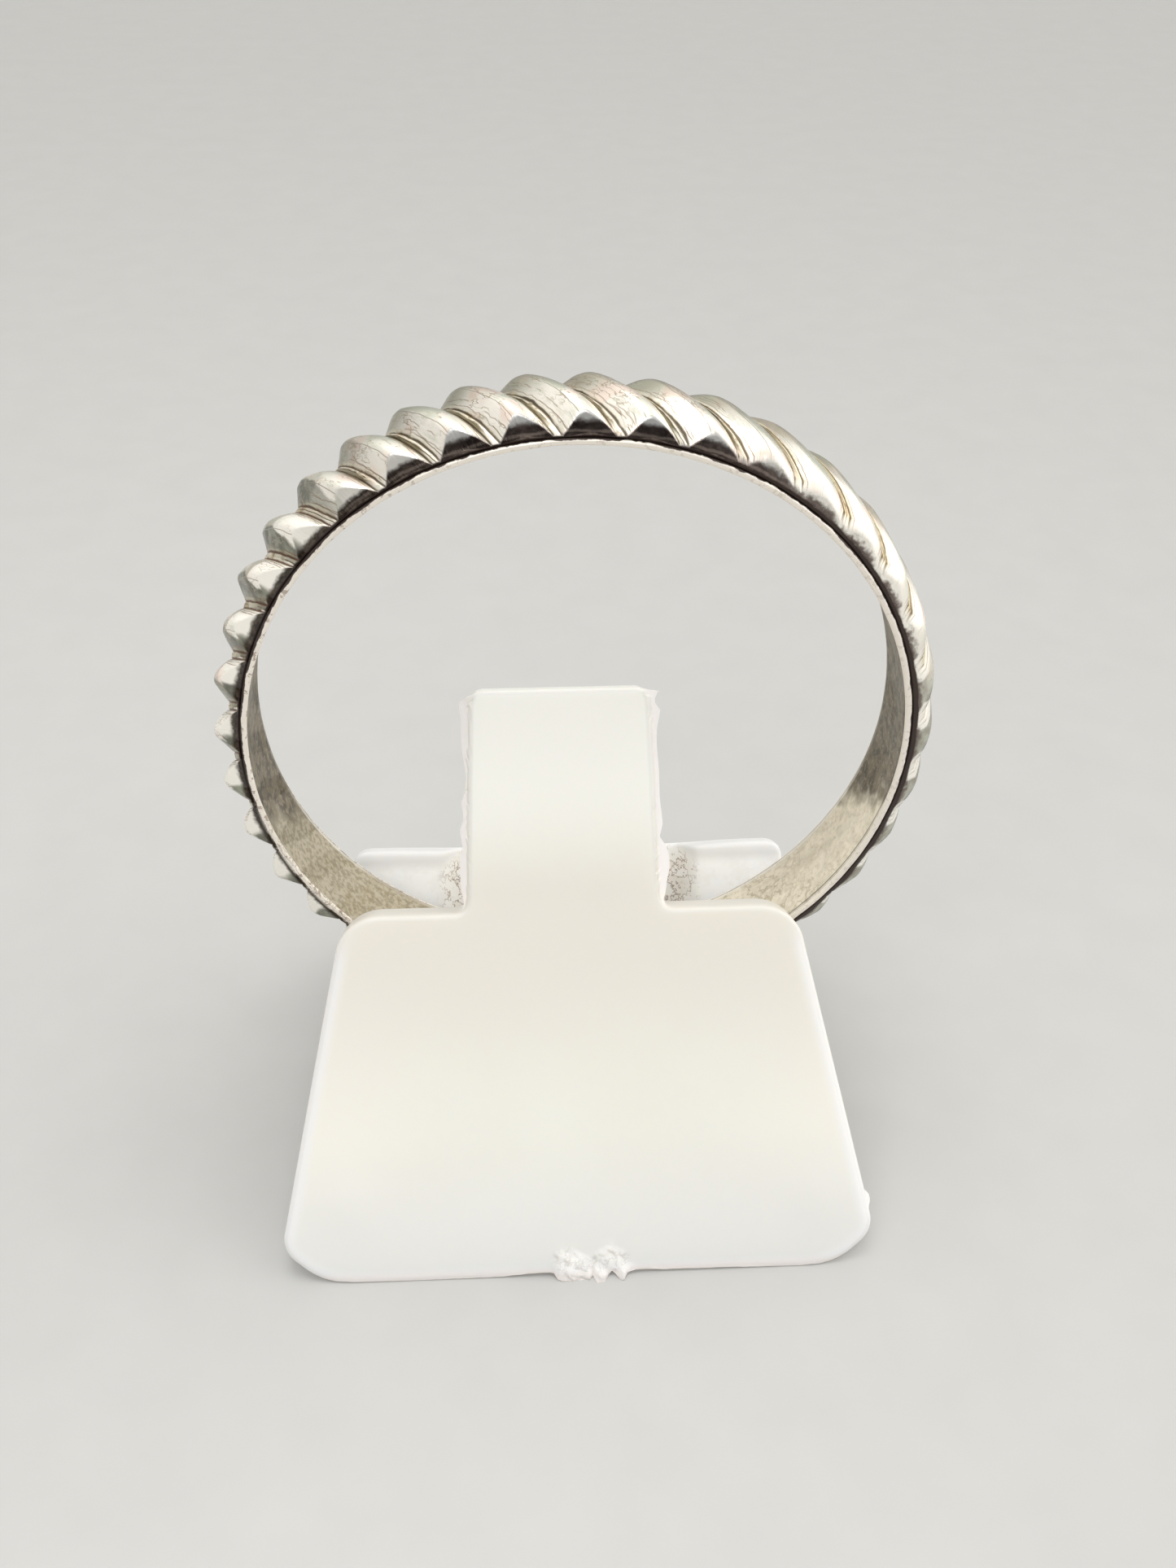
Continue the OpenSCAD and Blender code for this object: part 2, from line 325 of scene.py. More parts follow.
def make_ring():
    """The whole band as one closed mesh, with its lines, dents and uneven lobes."""
    place = np.array([k + u for k in range(LOBES) for u in ONE_LOBE])
    u = place % 1
    rows = ring_rows(u, relief(lobe_angle(place)), rightness(lobe_angle(place)))
    y = np.array([row[0] for row in rows])
    r = np.array([row[1] for row in rows])
    part = np.array([row[2] for row in rows])
    lobe = part == "lobe"
    angle = lobe_angle(place) + TWIST * y

    from_groove = np.minimum(u, 1 - u)
    line = np.exp(-(((from_groove - LINE_AT) / LINE_W) ** 2))
    r[lobe] -= LINE_DEPTH * line
    count = len(place)
    points = on_ring(y, r, angle)
    flat = points[lobe].reshape(-1, 3)
    wave = layered(flat, LOBE_WAVES).reshape(-1, count)
    knocks = smooth(*KNOCKED, np.cos(angle[lobe])) * layered(flat, KNOCKS).reshape(-1, count)
    r[lobe] += (wave + knocks - TOP_WEAR) * lobe_shape(u)
    rim = part == "rim"
    dent = layered(points[rim].reshape(-1, 3), RIM_DENTS).reshape(-1, count)
    y[rim] += np.abs(dent)
    r[rim] += DENT_OUTWARD * dent

    faces = []
    for j in range(len(rows)):
        faces += belt(j * count, (j + 1) % len(rows) * count, count)
    guides = {
        "groove": (1 - smooth(*GROOVE_FADE, from_groove)) * lobe[:, None],
        "across": np.broadcast_to(place, r.shape),
        "along": y,
        "height": r,
    }
    for name in ("ends", "rim", "slot", "bore"):
        guides[name] = np.broadcast_to((part == name)[:, None], r.shape)
    guides = {name: values.reshape(-1) for name, values in guides.items()}
    return make_mesh("ring", on_ring(y, r, angle).reshape(-1, 3), faces, guides)


# The stand: outlines in a plane, filled with a fine net whose depth gives edges, flash and gate mark

def rounded_outline(corners, spacing):
    """Points round an anticlockwise outline whose corners (x, y, radius) are arcs."""
    arcs = []
    for i, (x, y, radius) in enumerate(corners):
        corner = np.array([x, y], float)
        before = np.array(corners[i - 1][:2]) - corner
        after = np.array(corners[(i + 1) % len(corners)][:2]) - corner
        before /= np.linalg.norm(before)
        after /= np.linalg.norm(after)
        half = math.acos(np.clip(before @ after, -1, 1)) / 2
        bisector = (before + after) / np.linalg.norm(before + after)
        centre = corner + bisector * radius / math.sin(half)
        start = corner + before * radius / math.tan(half) - centre
        turn = math.copysign(math.pi - 2 * half, -before[0] * after[1] + before[1] * after[0])
        steps = max(3, round(abs(turn) * radius / spacing))
        arc = []
        for k in range(steps + 1):
            a = turn * k / steps
            c, s = math.cos(a), math.sin(a)
            arc.append(centre + np.array([c * start[0] - s * start[1], s * start[0] + c * start[1]]))
        arcs.append(arc)
    points = []
    for i, arc in enumerate(arcs):
        points.extend(arc)
        gap = arcs[(i + 1) % len(arcs)][0] - arc[-1]
        steps = max(1, round(np.linalg.norm(gap) / spacing))
        points.extend(arc[-1] + gap * k / steps for k in range(1, steps))
    return np.array(points)


def outward(loop):
    """Unit normals of an anticlockwise loop, pointing out of it."""
    along = np.roll(loop, -1, axis=0) - np.roll(loop, 1, axis=0)
    normal = np.stack([along[:, 1], -along[:, 0]], axis=1)
    return normal / np.linalg.norm(normal, axis=1, keepdims=True)


def distance_inside(points, loop):
    """Distance from each point to the loop, positive inside it."""
    a = loop
    b = np.roll(loop, -1, axis=0)
    edge = b - a
    best = np.full(len(points), np.inf)
    crossings = np.zeros(len(points), int)
    for i in range(len(loop)):
        rel = points - a[i]
        t = np.clip(rel @ edge[i] / (edge[i] @ edge[i]), 0, 1)
        best = np.minimum(best, np.linalg.norm(rel - t[:, None] * edge[i], axis=1))
        spans = (a[i][1] > points[:, 1]) != (b[i][1] > points[:, 1])
        if edge[i][1] != 0:
            at = a[i][0] + (points[:, 1] - a[i][1]) / edge[i][1] * edge[i][0]
            crossings += spans & (points[:, 0] < at)
    return np.where(crossings % 2 == 1, best, -best)


# A ring of points inside an outline keeps those that lie at least this share of its inset from the outline
KEPT = 0.93
# For filling an outline: the kind of triangles wanted, and the distance at which points are the same
FILL_INSIDE = 1
SAME = 1e-6


def fill_outline(loop, insets, spacing, dense):
    """Points and triangles that fill a loop: rings close to its edge, and an even net inside.

    dense gives low and high corners and the spacing of a finer net."""
    normal = outward(loop)
    rings = []
    for inset in insets:
        ring = loop - normal * inset
        rings.append(ring[distance_inside(ring, loop) > KEPT * inset])
    low = loop.min(0)
    high = loop.max(0)
    xs = np.arange(low[0], high[0], spacing)
    ys = np.arange(low[1], high[1], spacing)
    net = np.array([(x, y) for x in xs for y in ys])
    (x0, y0), (x1, y1), fine = dense
    within = (net[:, 0] > x0) & (net[:, 0] < x1) & (net[:, 1] > y0) & (net[:, 1] < y1)
    finer = np.array([(x, y) for x in np.arange(x0, x1, fine) for y in np.arange(y0, y1, fine)])
    net = np.vstack([net[~within], finer])
    rings.append(net[distance_inside(net, loop) > insets[-1] + spacing / 2])
    points = np.vstack([loop] + rings)
    count = len(loop)
    edges = [(i, (i + 1) % count) for i in range(count)]
    made = delaunay_2d_cdt([Vector(p) for p in points], edges, [], FILL_INSIDE, SAME)
    return np.array([tuple(p) for p in made[0]]), [tuple(f) for f in made[2]]


# The front plate with its finger, as corners (x, length up the slope, radius)
FINGER_TOP = PLATE_LEN + FINGER_LEN
FINGER_ROOT_R = 0.35
LEFT_FOOT_X = FOOT_SHIFT - PLATE_BOTTOM_W / 2
RIGHT_FOOT_X = FOOT_SHIFT + PLATE_BOTTOM_W / 2
LEFT_SIDE = (-PLATE_TOP_W / 2 - LEFT_FOOT_X) / PLATE_LEN
RIGHT_SIDE = (PLATE_TOP_W / 2 - RIGHT_FOOT_X) / PLATE_LEN
PLATE_CORNERS = [
    (LEFT_FOOT_X + FOOT_CUT_IN, 0, FOOT_R),
    (RIGHT_FOOT_X - FOOT_CUT_IN, 0, FOOT_R),
    (RIGHT_FOOT_X + FOOT_CUT_UP * RIGHT_SIDE, FOOT_CUT_UP, FOOT_SIDE_R),
    (PLATE_TOP_W / 2, PLATE_LEN, SHOULDER_R),
    (FINGER_ROOT_W / 2 - FINGER_SHIFT, PLATE_LEN, FINGER_ROOT_R),
    (FINGER_TIP_W / 2 - FINGER_SHIFT, FINGER_TOP, FINGER_R),
    (-FINGER_TIP_W / 2 - FINGER_SHIFT, FINGER_TOP, FINGER_R),
    (-FINGER_ROOT_W / 2 - FINGER_SHIFT, PLATE_LEN, FINGER_ROOT_R),
    (-PLATE_TOP_W / 2, PLATE_LEN, SHOULDER_R),
    (LEFT_FOOT_X + FOOT_CUT_UP * LEFT_SIDE, FOOT_CUT_UP, FOOT_SIDE_R),
]
# Moulding flash along the finger's sides, torn off unevenly: share of the finger's length, and width
LEFT_FLASH = [(0, 0), (0.06, 0.12), (0.12, 0.19), (0.24, 0.22), (0.29, 0.13), (0.37, 0.23), (0.42, 0.12),
              (0.5, 0.19), (0.55, 0.08), (0.62, 0.06), (0.68, 0.13), (0.75, 0.2), (0.88, 0.22), (0.94, 0.3),
              (0.97, 0.05)]
RIGHT_FLASH = [(0, 0), (0.05, 0.18), (0.12, 0.26), (0.18, 0.36), (0.24, 0.35), (0.28, 0.27), (0.32, 0.11),
               (0.38, 0.22), (0.5, 0.17), (0.62, 0.19), (0.74, 0.16), (0.81, 0.19), (0.89, 0.32),
               (0.94, 0.12), (0.96, 0.36), (0.98, 0.05)]
# A torn bit of flash low on the plate's right side: its place up the slope and its width
SIDE_FLASH = [(1.1, 0), (1.3, 0.03), (1.5, 0.02), (1.69, 0.015), (1.78, 0.11), (1.94, 0.13),
              (2.02, 0.11), (2.06, 0)]
# The flash is a thin fin, from FIN_EDGE out of the plate's outline. Its front lies FIN_FRONT behind the
# plate's face, and FIN_TAPER more at the distance FIN_W. Its back is reached at the distance FIN_TURN
FIN_EDGE = 0.01
FIN_TURN = 0.04
FIN_FRONT = 0.16
FIN_TAPER = 0.1
FIN_W = 0.3
FIN_BACK = 0.45
# Depth and width of the rounding at the plate's sides, at the finger and at the rear
SIDE_EDGE = (0.18, 0.26)
FINGER_EDGE = (0.1, 0.13)
REAR_EDGE = (0.3, 0.35)
# The rounding's depth at the foot, and between which lengths up the slope it deepens
FOOT_EDGE = 0.08
FOOT_TO_SIDE = (0.2, 1.5)
# How far under the shoulders the plate's rounding turns into the finger's
SIDE_TO_FINGER = (1.2, 0.3)
# The face rolls back at the foot: by how much, over what length up the slope
ROLL = (0.08, 1.6)
# Slow waves on the face, as a layer of noise
FACE_WAVES = ((0.02, 4.0, 3),)
OUTLINE_STEP = 0.11
PLATE_NET = 0.24
# The gate mark, where the moulding was torn off: its middle, half width and height, and its finer net
GATE_X = 0.42
GATE_HALF = 1.25
GATE_TOP = 0.85
GATE_NET = ((GATE_X - 1.5, 0.02), (GATE_X + 1.5, 0.95), 0.045)
# It fades out over these lengths at its sides and its top, and its top edge waves by this much, at this rate
GATE_SIDE_FADE = 0.35
GATE_TOP_FADE = 0.25
GATE_WAVES = (0.12, 5.1)
# Its surface: how far it stands out, its lumps as layers of noise round a middle height, and their limits
GATE_RISE = 0.14
GATE_MIDDLE = 0.5
GATE_LUMPS = ((0.9, 0.45, 5), (0.6, 0.2, 6), (0.4, 0.11, 7))
GATE_LIMITS = (-0.2, 1.3)
GATE_LUMPS_FROM = 0.25
# How far it stands out at the foot, at places across, fading out up the slope, and its unevenness
GATE_LINE_TO = 0.55
GATE_FRAY = ((0.5, 0.15, 8),)
GATE_LINE = [(-0.8, 0), (-0.62, 0.05), (-0.55, 0.22), (-0.1, 0.17), (0.35, 0.2), (0.42, 0.08), (0.52, 0.3),
             (0.8, 0.3), (0.9, 0), (1.05, 0.02), (1.15, 0.24), (1.32, 0.26), (1.42, 0.05), (1.7, 0)]
# Height of the plate's lower edge over the floor, at places across
FOOT_LINE = [(-8.4, 0.1), (-6.5, 0.05), (-4.2, 0.02), (-2.6, 0.04), (-1.62, 0.1), (-0.75, 0.16),
             (-0.63, 0.13), (-0.53, 0), (0.84, 0), (0.93, 0.15), (1.05, 0.14), (1.15, 0), (1.35, 0),
             (1.44, 0.12), (1.67, 0.14), (3.5, 0.08), (6.2, 0.03), (7.2, 0.06), (8.6, 0.12)]
FOOT_WAVES = ((0.35, 0.9, 8), (0.35, 0.3, 9))
# Faint swellings near the foot's two corners: their places on the plate, rise and radius
PILLOWS = [(-6.5, 2.4), (7.0, 2.1)]
PILLOW_RISE = 0.05
PILLOW_R = 0.9
EDGE_INSETS = [0.03, 0.07, 0.12, 0.18, 0.25, 0.33, 0.42]
SIDE_STEPS = 3


def on_plate(x, s, h):
    """The place of a point x across, s up the slope and h behind the front plate's face."""
    y = FRONT_Y + s * LEAN_SIN + h * LEAN_COS
    z = s * LEAN_COS - h * LEAN_SIN
    return np.stack([x - STAND_SHIFT, y, np.maximum(z, foot_rise(x))], axis=-1)


def gate_share(x, s):
    """1 on the torn gate mark at the foot of the plate, 0 away from it."""
    across = smooth(GATE_HALF, GATE_HALF - GATE_SIDE_FADE, np.abs(x - GATE_X))
    edge = GATE_WAVES[0] * np.sin(GATE_WAVES[1] * x)
    return across * smooth(GATE_TOP, GATE_TOP - GATE_TOP_FADE, s + edge)


def gate_lumps(x, s):
    """How far forward the torn plastic of the gate mark stands out."""
    at = np.column_stack([x, s, x * 0])
    lumps = np.clip(layered(at, GATE_LUMPS, GATE_MIDDLE), *GATE_LIMITS)
    upper = GATE_RISE * gate_share(x, s) * lumps
    foot = table_value(GATE_LINE, x) * smooth(GATE_LINE_TO, 0, s)
    return upper * smooth(0, GATE_LUMPS_FROM, s) + foot * layered(at, GATE_FRAY, 1)


def foot_rise(x):
    """How far the plate's lower edge stands over the floor."""
    at = np.column_stack([x, x * 0, x * 0])
    return table_value(FOOT_LINE, x) * layered(at, FOOT_WAVES, 1)


def flash_width(x, s):
    """How far the flash stands out from the finger's side at s up the slope."""
    if x > 0 and SIDE_FLASH[0][0] < s < SIDE_FLASH[-1][0]:
        return table_value(SIDE_FLASH, s)
    share = (s - PLATE_LEN) / FINGER_LEN
    table = RIGHT_FLASH if x > 0 else LEFT_FLASH
    return table_value(table, share) if 0 <= share <= table[-1][0] else 0


def edge_depth(d, depth, width):
    """Depth of a rounded edge of that depth and width, d in from the outline."""
    t = np.clip(1 - d / width, 0, 1)
    return depth * (1 - np.sqrt(np.maximum(0, 1 - t**2)))


def key_of(point):
    """A point as a key for finding it again."""
    return tuple(round(float(value), 5) for value in point)


def make_front_plate():
    """The leaning plate with its finger, closed, with rounded edges and flash."""
    plain = rounded_outline(PLATE_CORNERS, OUTLINE_STEP)
    normal = outward(plain)
    flash = np.array([flash_width(x, s) for x, s in plain])
    loop = plain + normal * flash[:, None]
    points, triangles = fill_outline(loop, EDGE_INSETS, PLATE_NET, GATE_NET)
    x = points[:, 0]
    s = points[:, 1]
    inside = distance_inside(points, plain)
    on_finger = smooth(PLATE_LEN - SIDE_TO_FINGER[0], PLATE_LEN - SIDE_TO_FINGER[1], s)
    depth = SIDE_EDGE[0] + (FINGER_EDGE[0] - SIDE_EDGE[0]) * on_finger
    width = SIDE_EDGE[1] + (FINGER_EDGE[1] - SIDE_EDGE[1]) * on_finger
    depth = FOOT_EDGE + (depth - FOOT_EDGE) * smooth(*FOOT_TO_SIDE, s)
    h = edge_depth(np.maximum(inside, 0), depth, width)
    h += np.where(inside < -FIN_EDGE, FIN_FRONT + FIN_TAPER * np.minimum(1, -inside / FIN_W), 0)
    h += ROLL[0] * np.clip(1 - s / ROLL[1], 0, 1) ** 2
    h += layered(np.column_stack([x, s, h * 0]), FACE_WAVES)
    for px, ps in PILLOWS:
        h -= PILLOW_RISE * np.exp(-((x - px) ** 2 + (s - ps) ** 2) / PILLOW_R**2)
    front = on_plate(x, s, h)
    front[:, 1] -= gate_lumps(x, s)
    rear = PLATE_T - edge_depth(np.maximum(inside, 0), *REAR_EDGE)
    rear += (FIN_BACK - rear) * smooth(0, -FIN_TURN, inside)
    back = on_plate(x, s, rear)

    # The outline's own points, in order, join the front to the back
    numbers = {key_of(point): i for i, point in enumerate(points)}
    rim = [numbers[key_of(point)] for point in np.float32(loop)]
    count = len(points)
    side = []
    rows = [rim]
    for k in range(1, SIDE_STEPS):
        side.append(front[rim] + (back[rim] - front[rim]) * k / SIDE_STEPS)
        rows.append([2 * count + (k - 1) * len(rim) + i for i in range(len(rim))])
    rows.append([count + i for i in rim])
    faces = [tuple(t) for t in triangles]
    faces += [(a + count, c + count, b + count) for a, b, c in triangles]
    for upper, lower in zip(rows, rows[1:]):
        for i in range(len(rim)):
            j = (i + 1) % len(rim)
            faces.append((upper[j], upper[i], lower[i], lower[j]))
    return make_mesh("plate", np.vstack([front, back] + side), faces)


# The seat, back wall and rear leg: one folded section, as corners (y, z, radius)
SLOPE = math.tan(LEAN)
RIDGE_FRONT = (WALL_BASE_Y + (RIDGE_Z - SEAT_Z) * SLOPE, RIDGE_Z)
RIDGE_REAR = (RIDGE_FRONT[0] + RIDGE_T * LEAN_COS, RIDGE_Z - RIDGE_T * LEAN_SIN)
LEG_SLOPE = (REAR_Y - RIDGE_REAR[0]) / RIDGE_REAR[1]
LEG_INNER_Y = REAR_Y - WALL_T * math.sqrt(1 + LEG_SLOPE**2)
WALL_INNER_Y = WALL_BASE_Y + WALL_T / LEAN_COS
UNDER_Z = SEAT_Z - WALL_T
INNER_TOP_Z = SEAT_Z + (LEG_INNER_Y - WALL_INNER_Y - SEAT_Z * LEG_SLOPE) / (SLOPE + LEG_SLOPE)
SEAT_FRONT_Y = FRONT_Y + SEAT_Z * SLOPE + PLATE_T / LEAN_COS / 2
BACK_CORNERS = [
    (SEAT_FRONT_Y, SEAT_Z, 0.2),
    (SEAT_FRONT_Y, UNDER_Z, 0.2),
    (WALL_INNER_Y - WALL_T * SLOPE, UNDER_Z, 0.3),
    (LEG_INNER_Y - INNER_TOP_Z * LEG_SLOPE, INNER_TOP_Z, 0.2),
    (LEG_INNER_Y, 0, 0.18),
    (REAR_Y, 0, 0.18),
    (RIDGE_REAR[0], RIDGE_REAR[1], 0.25),
    (RIDGE_FRONT[0], RIDGE_FRONT[1], 0.17),
    (WALL_BASE_Y, SEAT_Z, 0.3),
]
BACK_SPACING = 0.2
BACK_COLUMNS = 70
END_ROUND = 0.15
END_STEPS = 4
# The ridge's top sinks by this much towards the channel, on the left and on the right,
# between these distances from its middle, down to this depth under it
RIDGE_SINK = (0.1, 0.17)
SINK_ACROSS = (BACK_W / 2 - 1, 2.7)
SINK_UNDER = 1.2
# The channel is pressed in over this length above the seat
CHANNEL_START = 0.3
# How far from the wall's front face, towards the back, the wall's own finish reaches
WALL_ZONE = (-0.2, 1)
# A margin for telling what lies just over or behind a face
JUST = 0.05
RIDGE_LEN = (RIDGE_Z - SEAT_Z) / LEAN_COS


def half_width(y, z):
    """Half the width of the seat, wall and leg. Its corners are round at the ridge and at the floor."""
    up = (y - WALL_BASE_Y) * LEAN_SIN + (z - SEAT_Z) * LEAN_COS
    above = np.clip(up - (RIDGE_LEN - RIDGE_R), 0, RIDGE_R)
    below = np.clip(BACK_FOOT_R - z, 0, BACK_FOOT_R)
    top_cut = RIDGE_R - np.sqrt(np.maximum(0, RIDGE_R**2 - above**2))
    foot_cut = BACK_FOOT_R - np.sqrt(np.maximum(0, BACK_FOOT_R**2 - below**2))
    return BACK_W / 2 - top_cut - foot_cut


def make_back():
    """The seat, back wall and rear leg as one closed folded mesh, with the channel behind the finger."""
    loop = rounded_outline(BACK_CORNERS, BACK_SPACING)
    normal = outward(loop)
    turns = [math.pi / 2 * k / END_STEPS for k in range(END_STEPS + 1)]
    ends = [(-1, END_ROUND * (1 - math.sin(a)), END_ROUND * (1 - math.cos(a))) for a in turns]
    stations = ends + [(2 * k / BACK_COLUMNS - 1, 0, 0) for k in range(1, BACK_COLUMNS)]
    stations += [(-t, inset, back) for t, inset, back in reversed(ends)]
    rows = []
    for t, inset, back in stations:
        y = loop[:, 0] - normal[:, 0] * inset
        z = loop[:, 1] - normal[:, 1] * inset
        width = half_width(y, z) - END_ROUND
        x = t * width + math.copysign(END_ROUND - back, t) * (abs(t) == 1)
        # The channel is pressed into the wall's front face, and less into what lies behind it
        behind = (y - WALL_BASE_Y) * LEAN_COS - (z - SEAT_Z) * LEAN_SIN
        facing = np.clip(1 - behind / RIDGE_T, 0, 1) * (z > SEAT_Z + JUST)
        deep = 1 - smooth(CHANNEL_W / 2 - CHANNEL_DEPTH, CHANNEL_W / 2, np.abs(x))
        press = CHANNEL_DEPTH * deep * facing * smooth(SEAT_Z, SEAT_Z + CHANNEL_START, z)
        sink = RIDGE_SINK[t > 0]
        z = z - sink * smooth(*SINK_ACROSS, np.abs(x)) * smooth(RIDGE_Z - SINK_UNDER, RIDGE_Z, z)
        x = x + BACK_SHIFT - STAND_SHIFT
        rows.append(np.stack([x, y + press * LEAN_COS, z - press * LEAN_SIN], axis=-1))
    points = np.vstack(rows)
    count = len(loop)
    faces = []
    for j in range(len(rows) - 1):
        faces += belt(j * count, (j + 1) * count, count)
    edges = [(i, (i + 1) % count) for i in range(count)]
    for row, turn in ((0, -1), (len(rows) - 1, 1)):
        flat = [Vector(point) for point in rows[row][:, 1:]]
        made = delaunay_2d_cdt(flat, edges, [], FILL_INSIDE, SAME)
        names = [row * count + origins[0] for origins in made[3]]
        faces += [tuple(names[i] for i in face)[::turn] for face in made[2]]
    return make_mesh("back", points, faces)


def moulding_guides(mesh):
    """Guides for the moulding: distance inside the plate's outline, the wall, and the torn gate mark."""
    at = np.zeros(3 * len(mesh.vertices), np.float32)
    mesh.vertices.foreach_get("co", at)
    x, y, z = at.reshape(-1, 3).T.astype(float) / MM
    x = x + STAND_SHIFT
    s = (y - FRONT_Y) * LEAN_SIN + z * LEAN_COS
    h = (y - FRONT_Y) * LEAN_COS - z * LEAN_SIN
    inside = distance_inside(np.column_stack([x, s]), rounded_outline(PLATE_CORNERS, OUTLINE_STEP))
    behind = y - WALL_BASE_Y - (z - SEAT_Z) * SLOPE
    return {
        "inside": np.where(h < PLATE_T + JUST, inside, 1),
        "wall": (z > SEAT_Z) & (behind > WALL_ZONE[0]) & (behind < WALL_ZONE[1]),
        "torn": np.where(h < PLATE_T / 2, gate_share(x, s), 0),
    }


# The moulding's edges that turn by more degrees than this are sharp
SHARP_FROM = 45


def make_stand():
    """The plate and the folded back, united into one moulding."""
    plate = make_front_plate()
    back = make_back()
    union = plate.modifiers.new("union", "BOOLEAN")
    union.operation = "UNION"
    union.solver = "MANIFOLD"
    union.object = back
    graph = bpy.context.evaluated_depsgraph_get()
    mesh = bpy.data.meshes.new_from_object(plate.evaluated_get(graph))
    mesh.name = "moulding"
    mesh.materials.clear()
    set_guides(mesh, moulding_guides(mesh))
    bpy.data.objects.remove(plate)
    bpy.data.objects.remove(back)
    mesh.shade_smooth()
    mesh.set_sharp_from_angle(angle=math.radians(SHARP_FROM))
    return add_object("moulding", mesh)


# Materials: small helpers, then one function for each


class Nodes:
    """A node tree, built by short calls that take numbers or other nodes' outputs."""

    def __init__(self, tree, last):
        self.tree = tree
        self.last = tree.nodes[last]

    def give(self, name, value):
        """Set an input of the tree's last node."""
        self.put(self.last.inputs[name], value)

    def node(self, kind, **settings):
        made = self.tree.nodes.new(kind)
        for key, value in settings.items():
            setattr(made, key, value)
        return made

    def put(self, socket, value):
        if isinstance(value, bpy.types.NodeSocket):
            self.tree.links.new(value, socket)
        else:
            socket.default_value = value

    def attribute(self, name):
        return self.node("ShaderNodeAttribute", attribute_name=name).outputs["Fac"]

    def apply(self, kind, *values, **settings):
        """The first output of a node whose inputs are the values, in order."""
        made = self.node(kind, **settings)
        for socket, value in zip(made.inputs, values):
            self.put(socket, value)
        return made.outputs[0]

    def math(self, operation, *values):
        return self.apply("ShaderNodeMath", *values, operation=operation)

    def times(self, product, *factors):
        for factor in factors:
            product = self.math("MULTIPLY", product, factor)
        return product

    def scaled(self, value, factor, plus):
        return self.math("MULTIPLY_ADD", value, factor, plus)

    def less(self, value, taken):
        return self.math("SUBTRACT", value, taken)

    def rest(self, share):
        """What a share leaves of 1."""
        return self.less(1, share)

    def apart(self, a, b):
        """The distance between two values."""
        return self.math("ABSOLUTE", self.less(a, b))

    def most(self, largest, *values):
        for value in values:
            largest = self.math("MAXIMUM", largest, value)
        return largest

    def weaker(self, value, where, share):
        """A value less a share of it in the places where the other one is 1."""
        return self.times(value, self.scaled(where, -share, 1))

    def swayed(self, value, by, reach):
        """A value moved to both sides by a noise whose middle is 0.5."""
        return self.scaled(self.less(by, 0.5), reach, value)

    def ramp(self, value, low, high, to_low=0, to_high=1, kind="SMOOTHSTEP"):
        """to_low where the value is at low or beyond it, to_high at high, and a turn between."""
        inputs = (value, low, high, to_low, to_high)
        return self.apply("ShaderNodeMapRange", *inputs, interpolation_type=kind)

    def mix(self, share, a, b):
        """The colour a, turning to b as the share rises. A colour is red, green and blue."""
        made = self.node("ShaderNodeMix", data_type="RGBA")
        self.put(made.inputs["Factor"], share)
        for socket, colour in zip(made.inputs[6:8], (a, b)):
            self.put(socket, (*colour, 1) if isinstance(colour, tuple) else colour)
        return made.outputs[2]

    def place(self, x, y, z):
        return self.apply("ShaderNodeCombineXYZ", x, y, z)

    def split(self, place):
        """The x, y and z of a place."""
        made = self.node("ShaderNodeSeparateXYZ")
        self.put(made.inputs[0], place)
        return made.outputs

    def object_place(self):
        return self.node("ShaderNodeTexCoord").outputs["Object"]

    def named(self, kind, output, **inputs):
        """One output of a node whose inputs are given by name."""
        made = self.node(kind)
        for name, value in inputs.items():
            self.put(made.inputs[name], value)
        return made.outputs[output]

    def noise(self, where, scale, detail, roughness=0.55):
        inputs = {"Vector": where, "Scale": scale, "Detail": detail, "Roughness": roughness}
        return self.named("ShaderNodeTexNoise", "Fac", **inputs)

    def grain(self, across, along, shift, detail, roughness=0.6):
        """Noise on the unrolled band. across and along are a guide and its fineness each."""
        where = self.place(self.times(*across), self.times(*along), shift)
        return self.noise(where, 1, detail, roughness)

    def thread(self, across, along, at, width, seed, cover, sway):
        """A thin broken line along the band, at a place from the middle of each pitch.

        width and sway are shares of the pitch, and cover, from 0 to 1, is how much of it is missing."""
        # Each pitch and each seed has its own stretch of the noise
        lane = self.scaled(self.math("FLOOR", across), 3.7, seed * 11.3)
        wander = self.noise(self.place(lane, self.times(along, 1.3), 0), 1, 3, 0.6)
        breaks = self.noise(self.place(lane, self.times(along, 1.2), 9.0), 1, 2, 0.5)
        offset = self.swayed(self.less(self.math("FRACT", across), 0.5 + at), wander, 2 * sway)
        near = self.ramp(self.math("ABSOLUTE", offset), width, width * 0.3)
        return self.times(near, self.ramp(breaks, cover, cover + 0.05))

    def bump(self, height, distance, strength, **before):
        inputs = {"Height": height, "Distance": distance, "Strength": strength}
        return self.named("ShaderNodeBump", "Normal", **inputs, **before)


def new_material(name):
    """A material, and the nodes that lead to its surface."""
    material = bpy.data.materials.new(name)
    material.use_nodes = True
    return material, Nodes(material.node_tree, "Principled BSDF")


